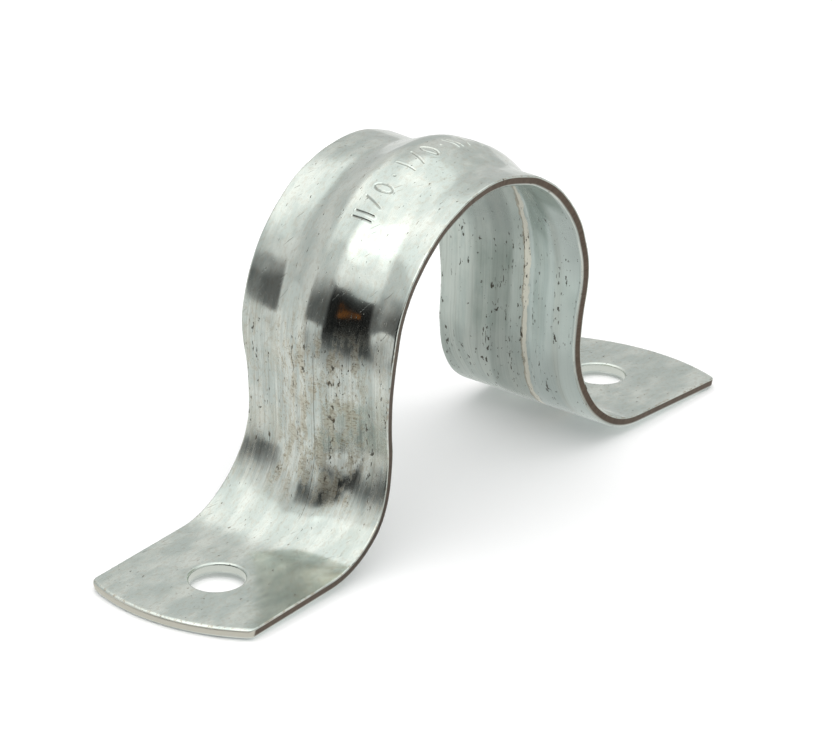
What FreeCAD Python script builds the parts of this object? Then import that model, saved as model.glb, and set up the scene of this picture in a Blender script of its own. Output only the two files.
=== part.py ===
import FreeCAD, Part
import math
import os

import Sketcher

# A two-hole conduit strap, pressed from one strip of galvanised steel.
#
# The strip runs along X, from screw hole to screw hole. The conduit lies along Y, under the arch.
# Z is up, and z = 0 is the surface that the tips of the feet touch. The feet slope down a little
# towards their tips, so that the screws spring them flat.
#
# The wall has one thickness everywhere, also where the stiffening rib is raised out of it. So the
# body is an outer form (a filled side outline with the rib on it) less an inner form (the same
# outline and the same rib, one sheet thickness further in).

# name, value in mm or degrees, note
SIZES = [
    ("strap_width", 19.05, "width of the strip, 3/4 inch"),
    ("sheet_thickness", 1.1, "wall thickness, the same everywhere"),
    ("half_length", 40.0, "from the middle to the tip of a foot, along X"),
    ("arch_radius", 16.0, "outside of the arch"),
    ("arch_height", 19.6, "centre of the arch above the tips' underside"),
    ("leg_pinch", 2.8, "angle that each leg leans in below the arch"),
    ("bend_radius", 9.8, "bend between leg and foot, on its hollow upper side"),
    ("foot_tilt", 2.8, "angle that each foot slopes down towards its tip"),
    ("rib_rise", 1.55, "height of the rib above the strip's face"),
    ("rib_crest_half", 1.0, "half the flat on the rib's crest"),
    ("rib_root_half", 6.0, "half the rib's width at its root"),
    ("rib_crest_blend", 3.0, "radius from crest to flank, on the outer face"),
    ("rib_root_blend", 3.5, "radius from flank to strip, on the outer face"),
    ("rib_offset", 0.6, "rib's centre line from the strip's, towards -Y"),
    ("runout_height", 12.0, "where the rib leaves the leg's line, above the tips' underside"),
    ("runout_radius", 16.4, "curve on which the rib runs out into the bend"),
    ("runout_turn", 36.0, "angle of that curve, to where the rib is buried"),
    ("waist_depth", 0.7, "how far forming the rib has drawn each edge in"),
    ("waist_height", 13.0, "the narrowest place, above the tips' underside"),
    ("waist_radius", 40.0, "the three arcs of the waist"),
    ("end_radius", 20.5, "end of a foot, in plan"),
    ("end_shift", 1.6, "centre of that arc, off the strip's centre line"),
    ("corner_radius", 0.9, "corner of a foot, in plan"),
    ("hole_diameter", 5.6, "screw hole"),
    ("hole_from_tip", 9.2, "centre of the screw hole from the tip, along X"),
    ("edge_break", 0.25, "broken edge all round the outer face"),
    ("rim_break", 0.3, "broken rim of a screw hole, on the foot's upper face"),
    ("overrun", 2.0, "how far an outline that cuts or fills passes the finished part"),
]
SIZE = {name: value for name, value, note in SIZES}


# ---- document helpers ----

def new_sheet(doc):
    """Keep every driving dimension in a spreadsheet, each under its own name."""
    sheet = doc.addObject("Spreadsheet::Sheet", "sizes")
    for row, (name, value, note) in enumerate(SIZES, start=1):
        sheet.set("A%d" % row, name)
        sheet.set("B%d" % row, str(value))
        sheet.set("C%d" % row, note)
        sheet.setAlias("B%d" % row, name)
    doc.recompute()


def bind(obj, prop, expression):
    """Bind a property to the sheet. Names of sizes stand in braces."""
    obj.setExpression(prop, expression.replace("{", "sizes.").replace("}", ""))


def origin(body, role):
    """One of the body's own origin planes or axes, found by its role."""
    for feature in body.Origin.OriginFeatures:
        if feature.Role == role:
            return feature
    raise ValueError("the body has no origin feature " + role)


def new_sketch(body, name, role):
    sketch = body.newObject("Sketcher::SketchObject", name)
    sketch.AttachmentSupport = [(origin(body, role), "")]
    sketch.MapMode = "FlatFace"
    return sketch


def line(sketch, start, end):
    return sketch.addGeometry(Part.LineSegment(FreeCAD.Vector(*start), FreeCAD.Vector(*end)), False)


def arc(sketch, centre, radius, start_degrees, end_degrees):
    """An arc that runs anticlockwise from its start to its end."""
    circle = Part.Circle(FreeCAD.Vector(*centre), FreeCAD.Vector(0, 0, 1), radius)
    curve = Part.ArcOfCircle(circle, math.radians(start_degrees), math.radians(end_degrees))
    return sketch.addGeometry(curve, False)


def tie(sketch, *constraint):
    sketch.addConstraint(Sketcher.Constraint(*constraint))


def measure(sketch, name, expression, *constraint):
    """Add a named dimension and bind it to the sheet."""
    index = sketch.addConstraint(Sketcher.Constraint(*constraint))
    sketch.renameConstraint(index, name)
    bind(sketch, "Constraints." + name, expression)


def through_all(body, name, sketch):
    """Cut a sketch through the whole body, both ways from its plane."""
    cut = body.newObject("PartDesign::Pocket", name)
    cut.Profile = sketch
    cut.Type = "ThroughAll"
    cut.SideType = "Symmetric"
    return cut


# Ends of a line or arc in a Sketcher constraint, and the sketch's own axes.
START, END, CENTRE = 1, 2, 3
H_AXIS, V_AXIS = -1, -2


# ---- the strap's side outline ----

def side_outline(body, name, inset, floor):
    """Closed side outline of the strap: feet, bends, legs and arch, and the space below them.

    inset is 0 for the outer face and 1 for the inner face, in sheet thicknesses.
    floor is the outline's lowest line, in overruns below z = 0.
    """
    depth = inset * SIZE["sheet_thickness"]
    pinch, tilt = SIZE["leg_pinch"], SIZE["foot_tilt"]
    sin_p, cos_p = math.sin(math.radians(pinch)), math.cos(math.radians(pinch))
    sin_t, cos_t = math.sin(math.radians(tilt)), math.cos(math.radians(tilt))
    arch, bend = SIZE["arch_radius"] - depth, SIZE["bend_radius"] + depth
    centre_z = SIZE["arch_height"]
    tip_x = SIZE["half_length"] + SIZE["overrun"]
    tip_z = (1 - inset) * SIZE["sheet_thickness"] / cos_t - SIZE["overrun"] * sin_t / cos_t
    low_z = -floor * SIZE["overrun"]

    # The leg's line and the foot's line fix the bend's centre.
    leg_x, leg_z = arch * cos_p, centre_z - arch * sin_p
    rise = tip_z + bend / cos_t
    slope = sin_t / cos_t
    lean = sin_p / cos_p
    bend_x = leg_x + bend / cos_p - (leg_z - rise - slope * tip_x) * lean
    bend_x = bend_x / (1 + slope * lean)
    bend_z = rise + slope * (tip_x - bend_x)
    foot_x, foot_z = bend_x - bend * sin_t, bend_z - bend * cos_t
    knee_x, knee_z = bend_x - bend * cos_p, bend_z + bend * sin_p

    sketch = new_sketch(body, name, "XZ_Plane")
    arch_arc = arc(sketch, (0, centre_z), arch, -pinch, 180 + pinch)
    legs, bends, feet, sides = [], [], [], []
    for side in (1, -1):
        legs.append(line(sketch, (side * knee_x, knee_z), (side * leg_x, leg_z)))
        feet.append(line(sketch, (side * tip_x, tip_z), (side * foot_x, foot_z)))
        sides.append(line(sketch, (side * tip_x, tip_z), (side * tip_x, low_z)))
    bends.append(arc(sketch, (bend_x, bend_z), bend, 180 - pinch, 270 - tilt))
    bends.append(arc(sketch, (-bend_x, bend_z), bend, 270 + tilt, 360 + pinch))
    base = line(sketch, (tip_x, low_z), (-tip_x, low_z))

    tie(sketch, "Tangent", legs[0], END, arch_arc, START)
    tie(sketch, "Tangent", legs[1], END, arch_arc, END)
    tie(sketch, "Tangent", legs[0], START, bends[0], START)
    tie(sketch, "Tangent", legs[1], START, bends[1], END)
    tie(sketch, "Tangent", feet[0], END, bends[0], END)
    tie(sketch, "Tangent", feet[1], END, bends[1], START)
    for foot, side in zip(feet, sides):
        tie(sketch, "Coincident", foot, START, side, START)
        tie(sketch, "Vertical", side)
    tie(sketch, "Coincident", sides[0], END, base, START)
    tie(sketch, "Coincident", sides[1], END, base, END)
    tie(sketch, "Horizontal", base)
    tie(sketch, "PointOnObject", arch_arc, CENTRE, V_AXIS)
    tie(sketch, "Equal", bends[0], bends[1])
    tie(sketch, "Symmetric", feet[0], START, feet[1], START, V_AXIS)

    measure(sketch, "arch_height", "{arch_height}", "DistanceY", arch_arc, CENTRE, centre_z)
    measure(sketch, "arch_radius", "{arch_radius} - %d * {sheet_thickness}" % inset,
            "Radius", arch_arc, arch)
    measure(sketch, "bend_radius", "{bend_radius} + %d * {sheet_thickness}" % inset,
            "Radius", bends[0], bend)
    measure(sketch, "right_leg", "90 - {leg_pinch}", "Angle", legs[0], math.radians(90 - pinch))
    measure(sketch, "left_leg", "90 + {leg_pinch}", "Angle", legs[1], math.radians(90 + pinch))
    measure(sketch, "right_foot", "180 - {foot_tilt}", "Angle", feet[0], math.radians(180 - tilt))
    measure(sketch, "left_foot", "{foot_tilt}", "Angle", feet[1], math.radians(tilt))
    measure(sketch, "tip_x", "{half_length} + {overrun}", "DistanceX", feet[0], START, tip_x)
    measure(sketch, "tip_z",
            "%d * {sheet_thickness} / cos({foot_tilt} * 1 deg) - {overrun} * tan({foot_tilt} * 1 deg)"
            % (1 - inset), "DistanceY", feet[0], START, tip_z)
    measure(sketch, "floor", "-%d * {overrun}" % floor, "DistanceY", base, START, low_z)
    return sketch


# ---- the rib ----

def rib_path(body, name):
    """The face line that the rib follows on one side: half the arch, a leg and the run-out."""
    pinch, radius = SIZE["leg_pinch"], SIZE["arch_radius"]
    sin_p, cos_p = math.sin(math.radians(pinch)), math.cos(math.radians(pinch))
    centre_z, runout_z = SIZE["arch_height"], SIZE["runout_height"]
    leg_x, leg_z = radius * cos_p, centre_z - radius * sin_p
    start_x = leg_x - (leg_z - runout_z) * sin_p / cos_p
    runout = SIZE["runout_radius"]
    curve_centre = (start_x + runout * cos_p, runout_z - runout * sin_p)

    sketch = new_sketch(body, name, "XZ_Plane")
    arch_arc = arc(sketch, (0, centre_z), radius, -pinch, 90)
    leg = line(sketch, (leg_x, leg_z), (start_x, runout_z))
    curve = arc(sketch, curve_centre, runout, 180 - pinch, 180 - pinch + SIZE["runout_turn"])

    tie(sketch, "Tangent", arch_arc, START, leg, START)
    tie(sketch, "Tangent", leg, END, curve, START)
    tie(sketch, "PointOnObject", arch_arc, CENTRE, V_AXIS)
    tie(sketch, "PointOnObject", arch_arc, END, V_AXIS)
    measure(sketch, "arch_height", "{arch_height}", "DistanceY", arch_arc, CENTRE, centre_z)
    measure(sketch, "arch_radius", "{arch_radius}", "Radius", arch_arc, radius)
    measure(sketch, "arch_turn", "90 + {leg_pinch}", "Angle", arch_arc, math.radians(90 + pinch))
    measure(sketch, "runout_height", "{runout_height}", "DistanceY", leg, END, runout_z)
    measure(sketch, "runout_radius", "{runout_radius}", "Radius", curve, runout)
    measure(sketch, "runout_turn", "{runout_turn}", "Angle", curve,
            math.radians(SIZE["runout_turn"]))
    return sketch


def flank_angle(run, rise, blends):
    """Slope of a flank that joins two blend arcs, the sum of whose radii is blends."""
    drop = rise - blends
    return math.degrees(math.atan2(drop, run) + math.asin(blends / math.hypot(run, drop)))


def rib_section(body, name, inset):
    """The rib across the strip, at the top of the arch: crest, flanks, blends and a buried foot.

    An inset of 1 gives the hollow behind it. Its blends share their centres with the outer ones,
    so the wall keeps its thickness round them.
    """
    depth = inset * SIZE["sheet_thickness"]
    crest_half, root_half = SIZE["rib_crest_half"], SIZE["rib_root_half"]
    crest_blend, root_blend = SIZE["rib_crest_blend"] - depth, SIZE["rib_root_blend"] + depth
    face_z = SIZE["arch_height"] + SIZE["arch_radius"] - depth
    crest_z = face_z + SIZE["rib_rise"]
    bury_z = face_z - SIZE["sheet_thickness"] / 2
    middle = -SIZE["rib_offset"]
    slope = flank_angle(root_half - crest_half, SIZE["rib_rise"], crest_blend + root_blend)
    sin_f, cos_f = math.sin(math.radians(slope)), math.cos(math.radians(slope))

    sketch = new_sketch(body, name, "YZ_Plane")
    crest = line(sketch, (middle - crest_half, crest_z), (middle + crest_half, crest_z))
    roots, crowns, flanks, walls = [], [], [], []
    for side in (-1, 1):
        root_y, crown_y = middle + side * root_half, middle + side * crest_half
        root_z, crown_z = face_z + root_blend, crest_z - crest_blend
        if side < 0:
            roots.append(arc(sketch, (root_y, root_z), root_blend, 270, 270 + slope))
            crowns.append(arc(sketch, (crown_y, crown_z), crest_blend, 90, 90 + slope))
        else:
            roots.append(arc(sketch, (root_y, root_z), root_blend, 270 - slope, 270))
            crowns.append(arc(sketch, (crown_y, crown_z), crest_blend, 90 - slope, 90))
        flank_foot = (root_y - side * root_blend * sin_f, root_z - root_blend * cos_f)
        flank_head = (crown_y + side * crest_blend * sin_f, crown_z + crest_blend * cos_f)
        flanks.append(line(sketch, flank_foot, flank_head))
        walls.append(line(sketch, (root_y, face_z), (root_y, bury_z)))
    base = line(sketch, (middle - root_half, bury_z), (middle + root_half, bury_z))

    # An arc's end that meets its neighbour differs from one side to the other.
    for index, near_end, far_end in ((0, END, START), (1, START, END)):
        tie(sketch, "Tangent", roots[index], near_end, flanks[index], START)
        tie(sketch, "Tangent", flanks[index], END, crowns[index], near_end)
        tie(sketch, "Tangent", crowns[index], far_end, crest, START if index == 0 else END)
        tie(sketch, "Coincident", roots[index], far_end, walls[index], START)
        tie(sketch, "Vertical", roots[index], far_end, roots[index], CENTRE)
        tie(sketch, "Coincident", walls[index], END, base, START if index == 0 else END)
        tie(sketch, "Vertical", walls[index])
    tie(sketch, "Horizontal", crest)
    tie(sketch, "Horizontal", base)
    tie(sketch, "Equal", roots[0], roots[1])
    tie(sketch, "Equal", crowns[0], crowns[1])

    measure(sketch, "root_blend", "{rib_root_blend} + %d * {sheet_thickness}" % inset,
            "Radius", roots[0], root_blend)
    measure(sketch, "crest_blend", "{rib_crest_blend} - %d * {sheet_thickness}" % inset,
            "Radius", crowns[0], crest_blend)
    face = "{arch_height} + {arch_radius} - %d * {sheet_thickness}" % inset
    measure(sketch, "face_z", face, "DistanceY", walls[0], START, face_z)
    measure(sketch, "other_face_z", face, "DistanceY", walls[1], START, face_z)
    measure(sketch, "crest_z", face + " + {rib_rise}", "DistanceY", crest, START, crest_z)
    measure(sketch, "bury", "{sheet_thickness} / 2", "DistanceY", walls[0], END, walls[0], START,
            face_z - bury_z)
    measure(sketch, "crest_left", "-{rib_offset} - {rib_crest_half}",
            "DistanceX", crest, START, middle - crest_half)
    measure(sketch, "crest_width", "2 * {rib_crest_half}",
            "DistanceX", crest, START, crest, END, 2 * crest_half)
    measure(sketch, "root_left", "-{rib_offset} - {rib_root_half}",
            "DistanceX", base, START, middle - root_half)
    measure(sketch, "root_width", "2 * {rib_root_half}",
            "DistanceX", base, START, base, END, 2 * root_half)
    return sketch


def sweep_rib(body, kind, name, section, path):
    """Sweep one side of the rib, and mirror it to the other side of the arch."""
    pipe = body.newObject("PartDesign::" + kind, name)
    pipe.Profile = section
    pipe.Spine = path
    mirror = body.newObject("PartDesign::Mirrored", name + "_other_side")
    mirror.Originals = [pipe]
    mirror.MirrorPlane = (origin(body, "YZ_Plane"), [""])
    body.Tip = mirror
    return mirror


# ---- trimming the strip ----

def long_edges(body, name):
    """Seen along the strip: what lies outside the two long edges, which the rib draws to a waist."""
    half, depth, radius = SIZE["strap_width"] / 2, SIZE["waist_depth"], SIZE["waist_radius"]
    height, overrun = SIZE["waist_height"], SIZE["overrun"]
    reach = math.sqrt(4 * radius * depth - depth ** 2)
    turn = math.degrees(math.asin(reach / (2 * radius)))
    top = SIZE["arch_height"] + SIZE["arch_radius"] + SIZE["rib_rise"] + overrun
    outer = half + 2 * overrun
    sketch = new_sketch(body, name, "YZ_Plane")
    for side, word in ((1, "right"), (-1, "left")):
        straight_y = side * half
        hollow = (side * (half - depth + radius), height)
        upper_centre = (side * (half - radius), height + reach)
        lower_centre = (side * (half - radius), height - reach)
        if side > 0:
            upper = arc(sketch, upper_centre, radius, -turn, 0)
            waist = arc(sketch, hollow, radius, 180 - turn, 180 + turn)
            lower = arc(sketch, lower_centre, radius, 0, turn)
            upper_out, upper_in, waist_top, waist_low = END, START, START, END
            lower_in, lower_out = END, START
        else:
            upper = arc(sketch, upper_centre, radius, 180, 180 + turn)
            waist = arc(sketch, hollow, radius, -turn, turn)
            lower = arc(sketch, lower_centre, radius, 180 - turn, 180)
            upper_out, upper_in, waist_top, waist_low = START, END, END, START
            lower_in, lower_out = START, END
        above = line(sketch, (straight_y, height + reach), (straight_y, top))
        below = line(sketch, (straight_y, height - reach), (straight_y, -3 * overrun))
        lid = line(sketch, (straight_y, top), (side * outer, top))
        back = line(sketch, (side * outer, top), (side * outer, -3 * overrun))
        sole = line(sketch, (straight_y, -3 * overrun), (side * outer, -3 * overrun))

        tie(sketch, "Tangent", above, START, upper, upper_out)
        tie(sketch, "Tangent", upper, upper_in, waist, waist_top)
        tie(sketch, "Tangent", waist, waist_low, lower, lower_in)
        tie(sketch, "Tangent", lower, lower_out, below, START)
        tie(sketch, "Coincident", above, END, lid, START)
        tie(sketch, "Coincident", lid, END, back, START)
        tie(sketch, "Coincident", back, END, sole, END)
        tie(sketch, "Coincident", below, END, sole, START)
        for upright in (above, below, back):
            tie(sketch, "Vertical", upright)
        tie(sketch, "Horizontal", lid)
        tie(sketch, "Horizontal", sole)
        tie(sketch, "Equal", upper, waist)
        tie(sketch, "Equal", lower, waist)
        sign = "" if side > 0 else "-"
        measure(sketch, word + "_edge", sign + "{strap_width} / 2",
                "DistanceX", above, START, straight_y)
        measure(sketch, word + "_radius", "{waist_radius}", "Radius", waist, radius)
        measure(sketch, word + "_height", "{waist_height}", "DistanceY", waist, CENTRE, height)
        measure(sketch, word + "_depth",
                sign + "({strap_width} / 2 - {waist_depth} + {waist_radius})",
                "DistanceX", waist, CENTRE, hollow[0])
        measure(sketch, word + "_top", "{arch_height} + {arch_radius} + {rib_rise} + {overrun}",
                "DistanceY", lid, START, top)
        measure(sketch, word + "_floor", "-3 * {overrun}", "DistanceY", sole, START, -3 * overrun)
        measure(sketch, word + "_back", sign + "({strap_width} / 2 + 2 * {overrun})",
                "DistanceX", back, START, side * outer)
    return sketch


def foot_end(body, name):
    """Seen from above: what lies beyond the round end of the right foot."""
    radius, shift = SIZE["end_radius"], -SIZE["end_shift"]
    centre_x = SIZE["half_length"] - radius
    reach_y = SIZE["strap_width"] / 2 + 2 * SIZE["overrun"]
    outer_x = SIZE["half_length"] + 2 * SIZE["overrun"]
    low_turn = math.degrees(math.asin((-reach_y - shift) / radius))
    high_turn = math.degrees(math.asin((reach_y - shift) / radius))
    low_x = centre_x + radius * math.cos(math.radians(low_turn))
    high_x = centre_x + radius * math.cos(math.radians(high_turn))

    sketch = new_sketch(body, name, "XY_Plane")
    end = arc(sketch, (centre_x, shift), radius, low_turn, high_turn)
    low = line(sketch, (low_x, -reach_y), (outer_x, -reach_y))
    high = line(sketch, (high_x, reach_y), (outer_x, reach_y))
    back = line(sketch, (outer_x, -reach_y), (outer_x, reach_y))
    tie(sketch, "Coincident", end, START, low, START)
    tie(sketch, "Coincident", end, END, high, START)
    tie(sketch, "Coincident", low, END, back, START)
    tie(sketch, "Coincident", high, END, back, END)
    tie(sketch, "Horizontal", low)
    tie(sketch, "Horizontal", high)
    tie(sketch, "Vertical", back)
    measure(sketch, "end_radius", "{end_radius}", "Radius", end, radius)
    measure(sketch, "centre_x", "{half_length} - {end_radius}",
            "DistanceX", end, CENTRE, centre_x)
    measure(sketch, "centre_y", "-{end_shift}", "DistanceY", end, CENTRE, shift)
    measure(sketch, "low_y", "-{strap_width} / 2 - 2 * {overrun}",
            "DistanceY", low, START, -reach_y)
    measure(sketch, "high_y", "{strap_width} / 2 + 2 * {overrun}",
            "DistanceY", high, START, reach_y)
    measure(sketch, "outer_x", "{half_length} + 2 * {overrun}",
            "DistanceX", back, START, outer_x)
    return sketch


def hole_circle(body, name):
    """The screw hole of the right foot, drawn on the foot's sloping underside."""
    tilt, inward = SIZE["foot_tilt"], SIZE["hole_from_tip"]
    sketch = new_sketch(body, name, "XY_Plane")
    sketch.AttachmentOffset = FreeCAD.Placement(
        FreeCAD.Vector(SIZE["half_length"] - inward, 0, inward * math.tan(math.radians(tilt))),
        FreeCAD.Rotation(FreeCAD.Vector(0, 1, 0), tilt))
    bind(sketch, "AttachmentOffset.Base.x", "{half_length} - {hole_from_tip}")
    bind(sketch, "AttachmentOffset.Base.z", "{hole_from_tip} * tan({foot_tilt} * 1 deg)")
    bind(sketch, "AttachmentOffset.Rotation.Angle", "{foot_tilt} * 1 deg")
    circle = Part.Circle(FreeCAD.Vector(0, 0, 0), FreeCAD.Vector(0, 0, 1), SIZE["hole_diameter"] / 2)
    ring = sketch.addGeometry(circle, False)
    tie(sketch, "Coincident", ring, CENTRE, H_AXIS, START)
    measure(sketch, "hole_diameter", "{hole_diameter}", "Diameter", ring, SIZE["hole_diameter"])
    return sketch


# ---- corners and edges ----

def edge_names(shape, wanted):
    return ["Edge%d" % number for number, edge in enumerate(shape.Edges, start=1) if wanted(edge)]


def is_foot_corner(edge):
    """An upright edge at one of the four corners of the feet."""
    first, last = edge.Vertexes[0].Point, edge.Vertexes[-1].Point
    upright = math.hypot(first.x - last.x, first.y - last.y) < 0.01
    at_side = abs(first.y) > 0.45 * SIZE["strap_width"]
    return upright and at_side and edge.Length > 0.5 * SIZE["sheet_thickness"]


def is_circle(edge, radius):
    return isinstance(edge.Curve, Part.Circle) and abs(edge.Curve.Radius - radius) < 0.01


def is_arch_edge(edge):
    """A long edge of the arch's outer face, from which a chamfer runs on all round the strip."""
    at_side = abs(edge.Vertexes[0].Point.y) > 0.45 * SIZE["strap_width"]
    return at_side and is_circle(edge, SIZE["arch_radius"])


def is_upper_rim(edge):
    """The rim of a screw hole on the foot's upper face."""
    underside_z = SIZE["hole_from_tip"] * math.tan(math.radians(SIZE["foot_tilt"]))
    if not is_circle(edge, SIZE["hole_diameter"] / 2):
        return False
    return edge.Curve.Center.z > underside_z + SIZE["sheet_thickness"] / 2


def dress(body, kind, name, wanted, dimension, size_name):
    """Fillet or chamfer the wanted edges of the body as it now stands."""
    body.Document.recompute()
    base = body.Tip
    feature = body.newObject("PartDesign::" + kind, name)
    feature.Base = (base, edge_names(base.Shape, wanted))
    setattr(feature, dimension, SIZE[size_name])
    bind(feature, dimension, "{%s}" % size_name)


# ---- the strap ----

def make_strap(doc):
    body = doc.addObject("PartDesign::Body", "strap")
    body.Label = "strap"

    filled = body.newObject("PartDesign::Pad", "filled_outline")
    filled.Profile = side_outline(body, "outer_outline", inset=0, floor=1)
    filled.SideType = "Symmetric"
    filled.Length = SIZE["strap_width"] + 2 * SIZE["overrun"]
    bind(filled, "Length", "{strap_width} + 2 * {overrun}")

    path = rib_path(body, "rib_path")
    section = rib_section(body, "rib_section", inset=0)
    sweep_rib(body, "AdditivePipe", "rib", section, path)
    through_all(body, "space_inside", side_outline(body, "inner_outline", inset=1, floor=2))
    hollow = rib_section(body, "hollow_section", inset=1)
    sweep_rib(body, "SubtractivePipe", "rib_hollow", hollow, path)

    through_all(body, "edge_trim", long_edges(body, "long_edges"))
    end = through_all(body, "end_trim", foot_end(body, "foot_end"))
    hole = through_all(body, "screw_hole", hole_circle(body, "hole_circle"))
    both = body.newObject("PartDesign::PolarPattern", "both_feet")
    both.Originals = [end, hole]
    both.Axis = (origin(body, "Z_Axis"), [""])
    both.Angle = 360
    both.Occurrences = 2
    body.Tip = both

    dress(body, "Fillet", "corners", is_foot_corner, "Radius", "corner_radius")
    dress(body, "Chamfer", "broken_edge", is_arch_edge, "Size", "edge_break")
    dress(body, "Chamfer", "broken_rims", is_upper_rim, "Size", "rim_break")
    doc.recompute()
    return body


def check(doc):
    """Stop if any object failed, or a sub-part has no sound shape."""
    for obj in doc.Objects:
        if "Invalid" in obj.State or "Error" in obj.State:
            raise RuntimeError("%s failed: %s" % (obj.Name, obj.State))
    for body in doc.findObjects("PartDesign::Body"):
        shape = body.Shape
        if shape.isNull() or not shape.isValid() or len(shape.Solids) != 1:
            raise RuntimeError("%s has no sound solid" % body.Label)


def main():
    doc = FreeCAD.newDocument("conduit_strap")
    new_sheet(doc)
    make_strap(doc)
    check(doc)
    os.makedirs("parts", exist_ok=True)
    for body in doc.findObjects("PartDesign::Body"):
        body.Shape.exportStep("parts/%s.step" % body.Label)
        box = body.Shape.BoundBox
        print("%s: %.2f x %.2f x %.2f mm, z %.3f to %.3f, volume %.1f mm3" % (
            body.Label, box.XLength, box.YLength, box.ZLength, box.ZMin, box.ZMax, body.Shape.Volume))


main()
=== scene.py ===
# %% [markdown]
# # A conduit strap, pressed from one strip of galvanised steel
#
# The real strap begins as a flat strip of zinc-coated sheet. A tool cuts the ends to a
# shallow arc and punches two screw holes, presses a stiffening rib along the middle, and
# then bends the blank into two feet, two legs and an arch that sits over the conduit.
#
# This lesson follows the same order. The blank is modelled flat, where holes, ends and
# edges are easy to draw, and one function then bends every point of it into place. The
# flat coordinates stay on the mesh as an attribute, so the zinc's streaks, pits and stains
# can later run along the strip and round its bends, as they do on the real sheet.

# %% Load the frame
import math

import bmesh
import bpy
import numpy as np
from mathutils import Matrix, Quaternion, Vector


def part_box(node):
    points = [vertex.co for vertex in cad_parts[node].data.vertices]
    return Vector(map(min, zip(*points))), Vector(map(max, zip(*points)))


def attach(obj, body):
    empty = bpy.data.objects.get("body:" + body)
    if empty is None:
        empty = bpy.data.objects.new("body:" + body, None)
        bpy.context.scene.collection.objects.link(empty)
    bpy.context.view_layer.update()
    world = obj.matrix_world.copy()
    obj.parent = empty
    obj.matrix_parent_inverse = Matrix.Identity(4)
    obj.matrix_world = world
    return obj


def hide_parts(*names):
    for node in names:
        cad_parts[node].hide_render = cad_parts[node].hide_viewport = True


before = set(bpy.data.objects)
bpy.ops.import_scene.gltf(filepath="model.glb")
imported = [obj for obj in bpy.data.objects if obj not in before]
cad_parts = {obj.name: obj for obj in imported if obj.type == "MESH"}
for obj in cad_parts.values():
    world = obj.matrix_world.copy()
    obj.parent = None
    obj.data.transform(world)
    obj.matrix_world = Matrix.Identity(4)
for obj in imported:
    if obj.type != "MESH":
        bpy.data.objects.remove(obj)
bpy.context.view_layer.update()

MM = 0.001

# %% [markdown]
# ## The sizes
#
# The strap's length, width and height come from the box of the CAD node. The other sizes
# are the ones a toolmaker would write on the drawing of the press tool. Everything is
# worked out in millimetres, because that is how sheet metal is measured, and is scaled to
# metres once, when the finished points are written into the mesh. The skin stops a hundredth
# of a millimetre short of the CAD box at each tip, so that rounding can't carry it outside.

# %% Sizes of the sheet, the bends and the rib
TIP_GAP = 0.01

box_low, box_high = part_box("strap")
half_length = box_high.x / MM - TIP_GAP
strip_width = (box_high.y - box_low.y) / MM
sheet = 1.1

arch_radius = 16.0
arch_height = 19.6
leg_pinch = math.radians(2.8)
bend_radius = 9.8
foot_tilt = math.radians(2.8)

rib_rise = box_high.z / MM - arch_height - arch_radius
rib_centre = -0.6
rib_crest_half = 1.0
rib_root_half = 6.0
rib_crest_blend = 3.0
rib_root_blend = 3.5
runout_height = 12.0
runout_radius = 16.4
runout_blend = 0.7

print("strip", round(strip_width, 2), "mm wide, rib", round(rib_rise, 2), "mm high")

# %% [markdown]
# ## The line the strip follows
#
# Seen from the side, the strip is a chain of runs: half an arch, a straight leg that leans
# in a little, a bend the other way, and a straight foot. Each run has a length and a
# curvature. Adding up curvature gives the heading, and adding up the heading gives the
# place, so a bend schedule is all that the shape needs. The curvature is first smoothed
# over a millimetre or two: sprung steel never passes from straight to round at a line, and
# a shiny surface shows such a line at once as a kink in its reflections.

# %% The bend schedule
arch_turn = math.pi / 2 + leg_pinch
bend_turn = arch_turn - foot_tilt
arch_end = Vector((arch_radius * math.sin(arch_turn), arch_height + arch_radius * math.cos(arch_turn)))
leg_normal = Vector((math.sin(arch_turn), math.cos(arch_turn)))
foot_normal = Vector((math.sin(foot_tilt), math.cos(foot_tilt)))
foot_along = Vector((math.cos(foot_tilt), -math.sin(foot_tilt)))
tip = Vector((half_length, sheet / math.cos(foot_tilt)))

to_foot = arch_end + bend_radius * (leg_normal - foot_normal)
leg_run = foot_normal.dot(to_foot - tip) / math.cos(leg_pinch - foot_tilt)
leg_along = Vector((math.cos(arch_turn), -math.sin(arch_turn)))
foot_start = to_foot + leg_run * leg_along
foot_run = foot_along.dot(tip - foot_start)

schedule = [
    (arch_radius * arch_turn, 1 / arch_radius),
    (leg_run, 0.0),
    (bend_radius * bend_turn, -1 / bend_radius),
    (foot_run, 0.0),
]
half_blank = sum(run for run, curvature in schedule)
foot_from = half_blank - foot_run
for (run, curvature), name in zip(schedule, ("half arch", "leg", "bend", "foot")):
    print(name, round(run, 2), "mm, curvature", round(curvature, 4))
print("flat blank", round(2 * half_blank, 2), "mm long")

# %% Follow the schedule
STEP = 0.02  # mm from one point of the line to the next
SPRING = 1.6  # mm over which each change of curvature is spread
SPARE = 3.0  # mm of line beyond the tip, so that slopes can be measured there too

along = np.arange(0.0, half_blank + SPARE, STEP)
turn_rate = np.zeros(len(along))
run_start = 0.0
for run, curvature in schedule:
    turn_rate[along >= run_start] = curvature
    run_start += run
window = np.hanning(int(SPRING / STEP))
padded = np.pad(turn_rate, len(window), mode="edge")
turn_rate = np.convolve(padded, window / window.sum(), mode="same")[len(window):-len(window)]

heading = np.cumsum(turn_rate) * STEP
heading -= heading[0]
line_x = np.cumsum(np.cos(heading)) * STEP
line_z = -np.cumsum(np.sin(heading)) * STEP
line_x -= line_x[0]
line_z += arch_height + arch_radius - line_z[0]


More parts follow.
